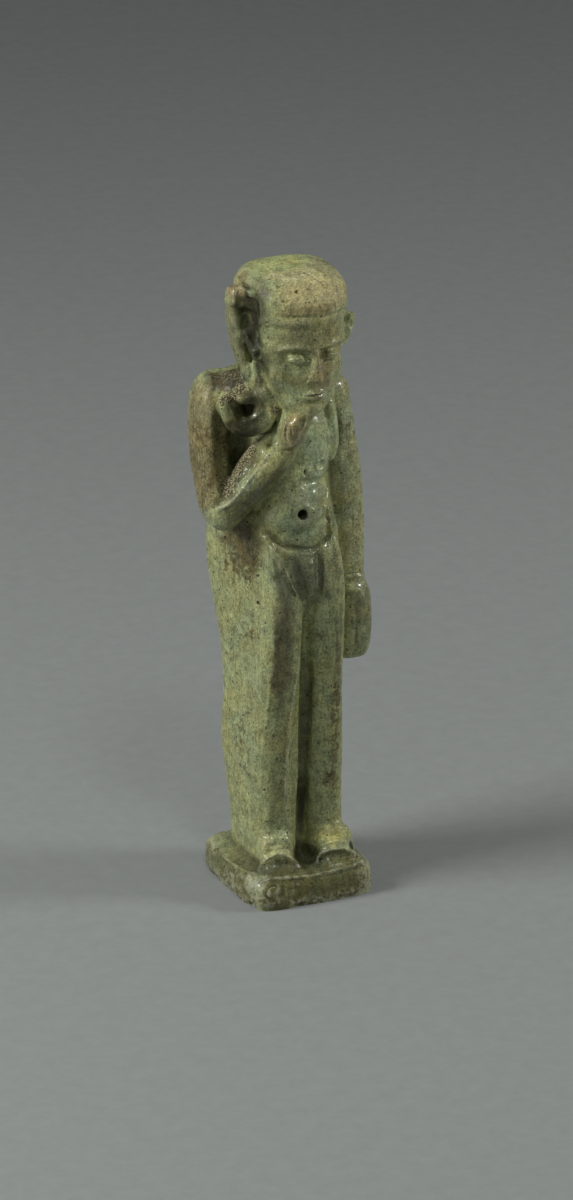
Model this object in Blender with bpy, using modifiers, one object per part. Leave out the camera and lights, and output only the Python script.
"""Faience amulet of Horus the Child: one moulded body, standing on its own plinth.

Blender 4.5, metres, +Z up. The figure looks along -Y, and its right side is at -X. The body is
blocked out from simple solids, as a modeller adds clay, fused into one skin, cut with the grooves
that the mould left, and ground flat below.
"""

import math

import bmesh
import bpy
import numpy as np
from mathutils import Matrix, Vector

MM = 0.001

# Driving sizes in millimetres
HEIGHT = 38.55
PLINTH_WIDTH = 7.9
PLINTH_DEPTH = 8.4
PLINTH_HEIGHT = 1.85
HEAD_WIDTH = 6.1
HEAD_DEPTH = 7.0
SHOULDER_HEIGHT = 31.6
HIP_HEIGHT = 20.0
FOLD_HEIGHT = 22.0
PILLAR_WIDTH = 3.2
LOOP_HOLE = 1.3
NAVEL_WIDTH = 0.6

# The skin: its grain while it is fused, and how many triangles are kept
GRAIN = 0.12
SMOOTHING_PASSES = 4
TRIANGLES = 9400
SPARE_BELOW = 0.4


def link(obj, collection):
    """Puts the object in one collection only and returns it."""
    for owner in list(obj.users_collection):
        owner.objects.unlink(obj)
    collection.objects.link(obj)
    return obj


def mesh_object(name, bm, collection):
    """Turns a bmesh with millimetre sizes into an object in metres."""
    bmesh.ops.recalc_face_normals(bm, faces=bm.faces)
    mesh = bpy.data.meshes.new(name)
    bm.to_mesh(mesh)
    bm.free()
    mesh.transform(Matrix.Scale(MM, 4))
    obj = bpy.data.objects.new(name, mesh)
    collection.objects.link(obj)
    return obj


def turned(degrees):
    """A rotation matrix from angles about X, Y and Z."""
    x, y, z = (math.radians(angle) for angle in degrees)
    return Matrix.Rotation(z, 4, "Z") @ Matrix.Rotation(y, 4, "Y") @ Matrix.Rotation(x, 4, "X")


def ellipsoid(name, centre, radii, collection, turn=(0, 0, 0)):
    """A ball stretched to three radii."""
    bm = bmesh.new()
    bmesh.ops.create_uvsphere(bm, u_segments=40, v_segments=24, radius=1.0)
    place = Matrix.Translation(centre) @ turned(turn) @ Matrix.Diagonal((*radii, 1.0))
    bmesh.ops.transform(bm, matrix=place, verts=bm.verts)
    return mesh_object(name, bm, collection)


def block(name, centre, size, rounding, collection, turn=(0, 0, 0)):
    """A box with rounded edges."""
    bm = bmesh.new()
    bmesh.ops.create_cube(bm, size=1.0)
    bmesh.ops.transform(bm, matrix=Matrix.Diagonal((*size, 1.0)), verts=bm.verts)
    bmesh.ops.bevel(
        bm, geom=bm.edges[:], offset=rounding, segments=4, profile=0.5, affect="EDGES"
    )
    place = Matrix.Translation(centre) @ turned(turn)
    bmesh.ops.transform(bm, matrix=place, verts=bm.verts)
    return mesh_object(name, bm, collection)


def outline(centre, low, high, half_low, half_high, squareness, steps=48):
    """A superellipse as flat points, whose half width changes from its low to its high side."""
    middle = (low + high) / 2
    reach = (high - low) / 2
    points = []
    for step in range(steps):
        angle = 2 * math.pi * step / steps
        across = math.copysign(abs(math.cos(angle)) ** (2 / squareness), math.cos(angle))
        along = math.copysign(abs(math.sin(angle)) ** (2 / squareness), math.sin(angle))
        half = half_low + (half_high - half_low) * (along + 1) / 2
        points.append((centre + across * half, middle + along * reach))
    return points


def skin(name, rings, collection):
    """A closed skin over rings of points, capped at both ends."""
    bm = bmesh.new()
    rings = [[bm.verts.new(point) for point in ring] for ring in rings]
    for lower, upper in zip(rings, rings[1:]):
        for i in range(len(lower)):
            j = (i + 1) % len(lower)
            bm.faces.new((lower[i], lower[j], upper[j], upper[i]))
    bm.faces.new(rings[0])
    bm.faces.new(rings[-1])
    return mesh_object(name, bm, collection)


def eased(sections, between=4):
    """Adds rows between the given ones along curves that never swing past them."""
    rows = np.array(sections, float)
    gaps = np.diff(rows[:, :1], axis=0)
    slopes = np.diff(rows, axis=0) / gaps
    bends = np.zeros_like(rows)
    bends[0] = slopes[0]
    bends[-1] = slopes[-1]
    for i in range(1, len(rows) - 1):
        before = slopes[i - 1]
        after = slopes[i]
        total = before + after
        same = before * after > 0
        bends[i] = np.where(same, 2 * before * after / np.where(same, total, 1.0), 0.0)
    made = []
    for i in range(len(rows) - 1):
        for t in np.linspace(0, 1, between, endpoint=False):
            start = (2 * t**3 - 3 * t**2 + 1) * rows[i] + (t**3 - 2 * t**2 + t) * gaps[i] * bends[i]
            end = (3 * t**2 - 2 * t**3) * rows[i + 1] + (t**3 - t**2) * gaps[i] * bends[i + 1]
            made.append(tuple(start + end))
    made.append(tuple(rows[-1]))
    return made


def loft(name, sections, collection):
    """A skin over level outlines: height, centre x, front, back, half widths, squareness."""
    rings = []
    for height, *shape in eased(sections):
        rings.append([(x, y, height) for x, y in outline(*shape)])
    return skin(name, rings, collection)


def loft_forward(name, sections, collection):
    """A skin over upright outlines: y, centre x, bottom, top, half widths, squareness."""
    rings = []
    for y, *shape in eased(sections):
        rings.append([(x, y, z) for x, z in outline(*shape)])
    return skin(name, rings, collection)


def limb(name, route, collection):
    """A round-ended tube through (x, y, z, radius) points: a bevelled curve turned into a mesh."""
    curve = bpy.data.curves.new(name, "CURVE")
    curve.dimensions = "3D"
    curve.bevel_depth = MM
    curve.bevel_resolution = 5
    curve.use_fill_caps = True
    curve.resolution_u = 8
    spline = curve.splines.new("NURBS")
    spline.points.add(len(route) - 1)
    for point, (x, y, z, radius) in zip(spline.points, route):
        point.co = (x * MM, y * MM, z * MM, 1.0)
        point.radius = radius
    spline.use_endpoint_u = True
    spline.order_u = 3
    holder = bpy.data.objects.new(name, curve)
    collection.objects.link(holder)
    bpy.context.view_layer.update()
    graph = bpy.context.evaluated_depsgraph_get()
    mesh = bpy.data.meshes.new_from_object(holder.evaluated_get(graph))
    bpy.data.objects.remove(holder)
    bm = bmesh.new()
    bm.from_mesh(mesh)
    bmesh.ops.remove_doubles(bm, verts=bm.verts, dist=1e-7)
    bmesh.ops.recalc_face_normals(bm, faces=bm.faces)
    bm.to_mesh(mesh)
    bm.free()
    obj = bpy.data.objects.new(name, mesh)
    collection.objects.link(obj)
    for x, y, z, radius in (route[0], route[-1]):
        ellipsoid(f"{name}_end", (x, y, z), (radius * 0.98,) * 3, collection)
    return obj


def add_plinth(collection):
    """The squarish base: wider behind, with worn sides that bulge and rounded edges."""
    half_x = PLINTH_WIDTH / 2
    half_y = PLINTH_DEPTH / 2
    levels = [
        # height, how much of the full size is lost on each side, squareness
        (-SPARE_BELOW, 0.20, 6.5),
        (0.0, 0.10, 7.5),
        (0.45, 0.0, 7.5),
        (1.0, 0.0, 7.5),
        (1.45, 0.06, 7.5),
        (1.70, 0.20, 7.0),
        (PLINTH_HEIGHT, 0.55, 6.0),
    ]
    centre_x = 0.12
    centre_y = 0.08
    flare = 0.12
    sections = []
    for height, lost, squareness in levels:
        half = half_x - lost
        front = centre_y - half_y + lost
        back = centre_y + half_y - lost
        sections.append((height, centre_x, front, back, half - flare, half + flare, squareness))
    loft("plinth", sections, collection)


def add_lower_body(collection):
    """Flat-sided legs that widen to the hips, with a web between them."""
    hips = [
        # height, centre x, front, back, half width in front and behind, squareness
        (1.0, 0.0, -1.6, 2.6, 2.75, 3.05, 4.0),
        (3.6, 0.0, -1.6, 2.6, 2.70, 3.10, 4.0),
        (6.0, 0.0, -1.7, 3.1, 2.60, 3.30, 4.2),
        (8.5, 0.0, -1.8, 3.5, 2.55, 3.42, 4.4),
        (11.2, 0.0, -1.9, 3.3, 2.45, 3.34, 4.4),
        (14.0, 0.0, -2.1, 3.7, 2.40, 3.30, 4.4),
        (16.5, 0.0, -2.3, 3.95, 2.40, 3.70, 4.6),
        (19.0, 0.0, -2.5, 4.12, 2.35, 4.14, 4.6),
        (HIP_HEIGHT + 1, 0.0, -2.4, 4.15, 2.25, 4.34, 4.4),
        (HIP_HEIGHT + 2.8, 0.0, -1.9, 4.05, 2.20, 4.02, 4.0),
        (HIP_HEIGHT + 5.0, 0.0, -1.4, 3.95, 2.00, 3.56, 3.4),
        (HIP_HEIGHT + 8.0, 0.0, -1.0, 3.85, 2.00, 3.22, 3.0),
    ]
    loft("hips", hips, collection)
    # Each thigh ends above in a narrow tip at its outer side, beside the groin's hollow
    right_leg = [
        # height, inner edge, outer edge, front
        (1.0, -0.08, -2.80, -2.15),
        (3.8, -0.08, -2.80, -2.15),
        (5.5, -0.05, -2.62, -2.25),
        (9.0, 0.00, -2.68, -2.50),
        (12.0, 0.00, -2.60, -2.60),
        (15.5, 0.05, -2.52, -2.85),
        (17.6, 0.05, -2.45, -3.05),
        (18.5, -0.35, -2.42, -3.10),
        (19.4, -1.00, -2.38, -3.10),
        (20.6, -1.50, -2.34, -3.00),
        (21.6, -1.80, -2.30, -2.80),
        (22.4, -1.95, -2.25, -2.50),
    ]
    left_leg = [
        (1.0, 0.30, 2.85, -2.15),
        (3.8, 0.30, 2.85, -2.15),
        (5.5, 0.25, 2.78, -2.25),
        (9.0, 0.20, 2.72, -2.50),
        (12.0, 0.15, 2.65, -2.60),
        (15.5, 0.05, 2.72, -2.85),
        (17.6, 0.05, 2.68, -3.05),
        (18.5, 0.45, 2.62, -3.10),
        (19.4, 0.72, 2.55, -3.10),
        (20.6, 0.80, 2.45, -3.00),
        (21.6, 1.00, 2.30, -2.80),
        (22.4, 1.30, 2.05, -2.50),
    ]
    for name, edges in (("right_leg", right_leg), ("left_leg", left_leg)):
        leg = []
        for height, inner, outer, front in edges:
            half = abs(outer - inner) / 2
            leg.append((height, (inner + outer) / 2, front, 1.5, half, half + 0.1, 3.1))
        loft(name, leg, collection)


def add_feet(collection):
    """Short wedge feet: an ankle ledge, an instep ledge and spread toes at the plinth's edge."""
    feet = (
        # name, side, middle of the ankle, how far the toes turn outwards
        ("right", -1, 1.78, -0.05),
        ("left", 1, 1.80, 0.45),
    )
    steps = (
        # y, top, half width below and above
        (-1.20, 4.00, 1.10, 1.00),
        (-2.35, 3.95, 1.08, 1.00),
        (-2.52, 3.85, 1.05, 0.98),
        (-2.60, 3.10, 1.05, 0.92),
        (-2.82, 2.98, 1.10, 0.90),
        (-2.92, 2.55, 1.22, 0.95),
        (-3.30, 2.30, 1.38, 1.05),
        (-3.75, 1.98, 1.45, 1.15),
        (-3.90, 1.60, 1.40, 1.20),
    )
    for name, side, middle, turn_out in feet:
        sections = []
        for y, top, half_low, half_high in steps:
            forward = (steps[0][0] - y) / (steps[0][0] - steps[-1][0])
            centre = side * (middle + turn_out * forward)
            sections.append((y, centre, 1.0, top, half_low, half_high, 3.5))
        loft_forward(f"{name}_foot", sections, collection)


def add_torso(collection):
    """The smooth chest and the round belly that overhangs the thighs."""
    torso = [
        (HIP_HEIGHT, 0.05, -2.2, 4.05, 2.0, 3.4, 3.0),
        (FOLD_HEIGHT, 0.0, -2.3, 4.0, 1.9, 3.3, 2.8),
        (24.0, -0.05, -2.1, 4.0, 2.0, 3.1, 2.8),
        (26.5, -0.05, -1.8, 3.9, 2.35, 3.2, 2.8),
        (29.0, -0.05, -1.3, 3.8, 2.7, 3.4, 2.8),
        (30.6, -0.1, -0.7, 3.6, 2.9, 3.6, 2.8),
        (SHOULDER_HEIGHT, -0.2, 0.2, 3.2, 2.6, 3.0, 2.4),
    ]
    loft("torso", torso, collection)
    ellipsoid("belly", (-0.2, -0.45, 23.8), (2.1, 2.2, 2.0), collection)
    ellipsoid("breast", (0.15, -0.2, 27.6), (2.35, 1.8, 2.7), collection)
    limb(
        "shoulders",
        [(-4.0, 1.6, 30.5, 1.3), (-2.2, 1.4, 30.7, 1.35), (1.5, 1.5, 30.1, 1.35), (3.2, 1.5, 29.5, 1.25)],
        collection,
    )
    limb("neck", [(0.0, 1.0, 29.5, 1.7), (0.0, 0.4, 33.0, 1.7)], collection)
    # The mould leaves the space between the chin, the raised hand and the chest filled
    chin_web = [(-0.8, -1.3, 28.3, 0.95), (-0.5, -2.2, 29.3, 0.95), (-0.2, -2.3, 30.7, 0.95)]
    limb("chin_web", chin_web, collection)
    block("left_web", (2.6, 1.6, 24.6), (2.2, 2.4, 10.5), 0.5, collection)


def add_right_arm(collection):
    """The bent arm, deep from front to back: its elbow overhangs the hip, its fist is at the chin."""
    upper_arm = [
        # height, centre x, front, back, half width in front and behind, squareness
        (22.75, -4.05, -0.55, 1.10, 0.45, 0.45, 2.4),
        (23.05, -4.12, -0.90, 1.50, 0.80, 0.75, 2.6),
        (23.7, -4.20, -1.00, 1.90, 0.98, 0.92, 2.8),
        (24.8, -4.20, -0.65, 2.35, 1.02, 1.00, 3.2),
        (26.5, -4.30, -0.35, 2.70, 1.04, 1.04, 3.4),
        (28.5, -4.32, -0.25, 2.90, 1.08, 1.06, 3.4),
        (30.2, -4.22, -0.10, 2.90, 1.12, 1.10, 3.2),
        (31.2, -4.00, 0.25, 2.75, 1.05, 1.00, 2.8),
        (31.75, -3.75, 0.70, 2.40, 0.75, 0.70, 2.4),
    ]
    loft("right_upper_arm", upper_arm, collection)
    limb(
        "right_forearm",
        [
            (-3.95, -0.1, 23.75, 0.98),
            (-3.2, -0.85, 24.9, 0.92),
            (-2.2, -1.6, 26.3, 0.85),
            (-1.3, -2.2, 27.7, 0.74),
            (-1.05, -2.45, 28.4, 0.70),
        ],
        collection,
    )
    ellipsoid("right_fist", (-0.95, -2.75, 28.95), (0.80, 0.62, 0.82), collection, turn=(15, 25, 0))
    limb("index_finger", [(-0.55, -3.05, 28.9, 0.36), (-0.15, -3.45, 30.5, 0.30)], collection)
    limb("thumb", [(-1.35, -3.0, 28.9, 0.30), (-0.95, -3.2, 30.0, 0.26)], collection)
    # The moulded web fills the crook of the arm
    block("arm_web", (-3.0, 1.2, 27.0), (2.8, 2.4, 6.6), 0.6, collection)


def add_left_arm(collection):
    """The hanging arm, with the open hand flat on the thigh."""
    upper_arm = [
        (17.8, 3.92, -0.45, 1.9, 0.92, 0.90, 2.8),
        (21.0, 3.98, -0.30, 2.1, 0.98, 0.95, 2.8),
        (24.0, 3.93, -0.05, 2.4, 1.00, 1.00, 2.8),
        (26.8, 3.58, 0.10, 2.7, 1.05, 1.05, 2.8),
        (29.0, 3.25, 0.20, 2.8, 1.10, 1.10, 2.8),
        (30.2, 3.05, 0.40, 2.7, 1.02, 1.02, 2.6),
        (30.75, 2.85, 0.80, 2.4, 0.75, 0.75, 2.3),
    ]
    loft("left_upper_arm", upper_arm, collection)
    hand = [
        (13.45, 3.90, -0.55, 1.50, 0.85, 0.80, 3.4),
        (13.75, 4.00, -0.75, 1.70, 0.98, 0.92, 3.6),
        (15.7, 4.14, -0.80, 1.80, 1.05, 1.00, 3.4),
        (17.3, 4.16, -0.75, 1.90, 1.00, 1.00, 3.2),
        (18.25, 3.95, -0.55, 1.90, 0.92, 0.90, 3.0),
    ]
    loft("left_hand", hand, collection)
    block("left_hand_root", (3.0, 0.8, 16.4), (2.2, 2.0, 5.4), 0.4, collection)


def add_head(collection):
    """A flat-topped capped skull over a calm, plain face, set forward of the shoulders."""
    half = HEAD_WIDTH / 2
    front = -4.2
    back = front + HEAD_DEPTH
    cap = [
        (34.4, -0.05, -2.0, back - 0.9, 1.9, 2.35, 2.4),
        (35.4, -0.05, -3.2, back - 0.3, 2.4, 2.85, 2.5),
        (36.05, -0.15, front + 0.1, back, half - 0.12, half - 0.05, 2.5),
        (36.35, -0.16, front, back, half - 0.02, half, 2.5),
        (36.9, -0.18, front, back - 0.1, half - 0.03, half - 0.03, 2.6),
        (37.5, -0.22, front + 0.2, back - 0.4, half - 0.05, half - 0.08, 2.7),
        (37.95, -0.26, front + 0.6, back - 0.8, half - 0.25, half - 0.25, 2.7),
        (38.35, -0.30, front + 1.2, back - 1.35, half - 0.60, half - 0.55, 2.7),
        (HEIGHT, -0.40, front + 2.2, back - 2.3, half - 1.35, half - 1.25, 2.5),
    ]
    loft("cap", cap, collection)
    face = [
        (30.20, 0.0, -3.20, -1.60, 0.75, 0.95, 2.2),
        (30.45, 0.0, -3.50, -1.00, 1.12, 1.35, 2.3),
        (31.1, 0.0, -3.66, -0.20, 1.55, 1.78, 2.3),
        (32.0, 0.0, -3.76, 0.60, 1.92, 2.12, 2.3),
        (33.0, 0.0, -3.85, 1.30, 2.22, 2.40, 2.3),
        (34.2, 0.0, -3.92, 1.80, 2.42, 2.56, 2.4),
        (35.3, -0.05, -4.02, 2.30, 2.60, 2.75, 2.5),
        (36.3, -0.1, -4.08, 2.60, 2.76, 2.88, 2.5),
    ]
    loft("face", face, collection)
    ellipsoid("chin", (0.0, -3.40, 30.75), (0.70, 0.44, 0.45), collection)
    nose = [(0.0, -3.80, 34.3, 0.24), (0.0, -4.10, 33.3, 0.30), (0.0, -4.16, 32.85, 0.40)]
    limb("nose", nose, collection)
    ellipsoid("mouth", (0.0, -3.62, 31.7), (0.80, 0.32, 0.30), collection)
    right_ear = [(-2.95, -0.1, 35.35, 0.28), (-2.95, -0.6, 34.8, 0.38), (-2.62, -1.5, 33.7, 0.32)]
    left_ear = [(2.9, -1.5, 35.4, 0.30), (3.13, -1.75, 34.9, 0.38), (2.68, -1.8, 34.0, 0.32)]
    limb("right_ear", right_ear, collection)
    limb("left_ear", left_ear, collection)


def add_sidelock(collection):
    """The thick lock behind the right ear, ending in an outward curl on the shoulder."""
    limb(
        "sidelock",
        [
            (-3.0, 0.45, 36.55, 0.52),
            (-3.08, 0.45, 35.9, 0.70),
            (-2.95, 0.40, 34.6, 0.64),
            (-2.65, 0.25, 33.2, 0.60),
            (-2.35, -0.3, 31.9, 0.56),
            (-2.2, -1.1, 30.9, 0.56),
        ],
        collection,
    )
    centre = Vector((-3.35, -1.35, 30.65))
    radius = 1.12
    stations = 9
    route = []
    for step in range(stations):
        share = step / (stations - 1)
        angle = math.radians(15 - 195 * share)
        x = centre.x + radius * math.cos(angle)
        y = centre.y + 0.45 * share
        z = centre.z + radius * math.sin(angle) * 1.1
        route.append((x, y, z, 0.54))
    limb("curl", route, collection)
    # The shoulder's mass under the lock and the curl
    ellipsoid("lock_bed", (-2.9, 0.3, 30.9), (1.5, 1.5, 1.3), collection)


def add_back_pillar(collection):
    """The plain slab behind the figure, with the pierced boss for the cord at the neck."""
    half = PILLAR_WIDTH / 2
    pillar = [
        (1.0, 0.0, 0.5, 3.65, half, half, 7.0),
        (12.0, 0.0, 0.5, 4.05, half, half, 7.0),
        (HIP_HEIGHT, 0.0, 0.5, 4.5, half, half, 7.0),
        (27.0, 0.0, 0.5, 4.35, half, half, 7.0),
        (33.0, 0.0, 0.5, 3.75, half * 0.9, half * 0.9, 6.0),
        (33.8, 0.0, 0.5, 3.2, half * 0.7, half * 0.7, 5.0),
    ]
    loft("back_pillar", pillar, collection)


def remeshed(parts, name, collection):
    """All the parts joined and fused into one even skin."""
    target = parts[0]
    with bpy.context.temp_override(active_object=target, selected_editable_objects=parts):
        bpy.ops.object.join()
    target.name = name
    target.data.name = name
    link(target, collection)
    fuse = target.modifiers.new("fuse", "REMESH")
    fuse.mode = "VOXEL"
    fuse.voxel_size = GRAIN * MM
    fuse.use_smooth_shade = True
    bake(target)
    return target


def bake(obj):
    """Replaces the object's mesh with its evaluated one."""
    bpy.context.view_layer.update()
    graph = bpy.context.evaluated_depsgraph_get()
    made = bpy.data.meshes.new_from_object(obj.evaluated_get(graph))
    old = obj.data
    obj.modifiers.clear()
    obj.data = made
    bpy.data.meshes.remove(old)


def smooth(obj, passes):
    """Softens the joins between the parts."""
    modifier = obj.modifiers.new("soften", "SMOOTH")
    modifier.factor = 0.5
    modifier.iterations = passes
    bake(obj)


def coordinates(mesh):
    """The mesh's points and normals as arrays in millimetres."""
    count = len(mesh.vertices)
    points = np.empty(count * 3)
    normals = np.empty(count * 3)
    mesh.vertices.foreach_get("co", points)
    mesh.vertices.foreach_get("normal", normals)
    return points.reshape(-1, 3) / MM, normals.reshape(-1, 3)


def distance_to_route(points, route):
    """The distance from each point to a route of straight runs."""
    nearest = np.full(len(points), 1e9)
    for start, end in zip(route, route[1:]):
        a = np.array(start, float)
        run = np.array(end, float) - a
        share = np.clip((points - a) @ run / (run @ run), 0, 1)
        gap = np.linalg.norm(points - (a + share[:, None] * run), axis=1)
        nearest = np.minimum(nearest, gap)
    return nearest


def press(obj, route, half_width, depth):
    """Presses a soft groove along a route, or raises a ridge where the depth is negative."""
    points, normals = coordinates(obj.data)
    gap = distance_to_route(points, route)
    share = np.clip(1 - (gap / half_width) ** 2, 0, 1) ** 2
    points -= normals * (share * depth)[:, None]
    obj.data.vertices.foreach_set("co", (points * MM).ravel())
    obj.data.update()


def carve(obj):
    """The grooves and hollows that show from a step away."""
    # The plinth's right side swells at its foot
    press(obj, [(-3.75, -1.0, 0.5), (-3.85, 1.6, 0.5)], 1.9, -0.16)
    # Between the legs, deepest above the feet
    press(obj, [(0.12, -1.9, 2.2), (0.12, -2.0, 8.0), (0.05, -2.4, 17.4)], 0.45, 0.16)
    press(obj, [(0.12, -1.7, 2.2), (0.12, -1.7, 6.5)], 0.5, 0.30)
    # The plain ridge in the groin's hollow
    press(obj, [(0.28, -2.5, 22.0), (0.28, -2.6, 19.0)], 0.6, -0.28)
    # Under the belly
    press(obj, [(-1.9, -2.1, 22.6), (-1.0, -2.6, 22.1), (0.0, -2.7, 21.9), (1.3, -2.4, 22.3)], 0.42, 0.35)
    # The wrist, and the gap between the torso and the hanging arm
    press(obj, [(3.2, -0.9, 18.45), (4.6, -0.8, 18.45), (5.4, 0.5, 18.45), (5.2, 1.8, 18.45)], 0.35, 0.2)
    press(obj, [(2.6, -0.4, 30.0), (2.5, -0.6, 26.0), (2.6, -0.8, 22.0), (3.0, -0.8, 18.6)], 0.5, 0.35)
    # The hollow between the temple, the ear and the lock
    press(obj, [(-2.95, -0.75, 36.0), (-3.0, -0.55, 35.3)], 0.5, 0.30)
    # The crook of the right arm
    press(obj, [(-3.2, -0.3, 29.0), (-3.2, -0.2, 27.2), (-3.3, -0.3, 26.0)], 0.9, 0.35)
    # Eye hollows beside the nose, with the closed curve of each eye in them
    for side in (-1, 1):
        press(obj, [(side * 0.7, -3.9, 34.0), (side * 1.5, -3.7, 33.95)], 0.62, 0.30)
        press(obj, [(side * 0.8, -3.8, 33.95), (side * 1.35, -3.6, 33.92)], 0.32, -0.22)


def decimate(obj, triangles):
    """Thins the skin to the number of triangles, keeping more where it curves."""
    thin = obj.modifiers.new("thin", "DECIMATE")
    faces = sum(len(polygon.vertices) - 2 for polygon in obj.data.polygons)
    thin.ratio = triangles / faces
    bake(obj)


def navel_cutter(collection):
    """The small drilled navel."""
    bm = bmesh.new()
    depth = 1.1
    bmesh.ops.create_cone(
        bm, cap_ends=True, segments=14, radius1=NAVEL_WIDTH * 0.35, radius2=NAVEL_WIDTH / 2, depth=depth
    )
    place = Matrix.Translation((-0.2, -2.35, 23.9)) @ turned((90, 0, 0))
    bmesh.ops.transform(bm, matrix=place, verts=bm.verts)
    return mesh_object("navel_cutter", bm, collection)


def loop_cutter(collection):
    """The hole through the boss behind the neck, from side to side."""
    bm = bmesh.new()
    bmesh.ops.create_cone(
        bm, cap_ends=True, segments=20, radius1=LOOP_HOLE / 2, radius2=LOOP_HOLE / 2, depth=9.0
    )
    place = Matrix.Translation((0.0, 2.55, 32.55)) @ turned((0, 90, 0))
    bmesh.ops.transform(bm, matrix=place, verts=bm.verts)
    return mesh_object("loop_cutter", bm, collection)


def cut(obj, cutter):
    """Takes the cutter's shape out of the body."""
    cutter.hide_render = True
    cutter.display_type = "WIRE"
    take = obj.modifiers.new(cutter.name, "BOOLEAN")
    take.operation = "DIFFERENCE"
    take.object = cutter
    take.solver = "EXACT"
    bake(obj)


def grind_flat(obj):
    """Cuts the body off level at height 0 and closes it with one flat face."""
    bm = bmesh.new()
    bm.from_mesh(obj.data)
    everything = bm.verts[:] + bm.edges[:] + bm.faces[:]
    made = bmesh.ops.bisect_plane(
        bm, geom=everything, dist=1e-8, plane_co=(0, 0, 0), plane_no=(0, 0, 1), clear_inner=True
    )
    rim = [item for item in made["geom_cut"] if isinstance(item, bmesh.types.BMEdge)]
    bmesh.ops.contextual_create(bm, geom=rim)
    for vertex in bm.verts:
        if abs(vertex.co.z) < 1e-7:
            vertex.co.z = 0.0
    bmesh.ops.triangulate(bm, faces=[face for face in bm.faces if len(face.verts) > 4])
    bmesh.ops.recalc_face_normals(bm, faces=bm.faces)
    bm.to_mesh(obj.data)
    bm.free()


def centre_on_origin(obj):
    """Moves the mesh level, so that its box stands centred on the origin."""
    points, _ = coordinates(obj.data)
    middle = (points.min(axis=0) + points.max(axis=0)) / 2
    obj.data.transform(Matrix.Translation((-middle[0] * MM, -middle[1] * MM, 0)))


def faience():
    """Pale grey-green glaze, worn to a satin shine."""
    material = bpy.data.materials.new("faience")
    material.use_nodes = True
    shader = material.node_tree.nodes["Principled BSDF"]
    shader.inputs["Base Color"].default_value = (0.20, 0.23, 0.13, 1.0)
    shader.inputs["Roughness"].default_value = 0.38
    shader.inputs["Metallic"].default_value = 0.0
    material.diffuse_color = (0.20, 0.23, 0.13, 1.0)
    return material


def main():
    for obj in list(bpy.data.objects):
        bpy.data.objects.remove(obj)
    scene = bpy.context.scene.collection
    parts = bpy.data.collections.new("horus_amulet")
    cutters = bpy.data.collections.new("cutters")
    scene.children.link(parts)
    scene.children.link(cutters)
    add_plinth(parts)
    add_lower_body(parts)
    add_feet(parts)
    add_torso(parts)
    add_left_arm(parts)
    add_right_arm(parts)
    add_head(parts)
    add_sidelock(parts)
    add_back_pillar(parts)
    amulet = remeshed(list(parts.objects), "amulet", parts)
    smooth(amulet, SMOOTHING_PASSES)
    carve(amulet)
    decimate(amulet, TRIANGLES)
    cut(amulet, navel_cutter(cutters))
    cut(amulet, loop_cutter(cutters))
    grind_flat(amulet)
    centre_on_origin(amulet)
    amulet.data.materials.clear()
    amulet.data.materials.append(faience())
    amulet.data.shade_smooth()
    amulet.data.set_sharp_from_angle(angle=math.radians(50))


main()
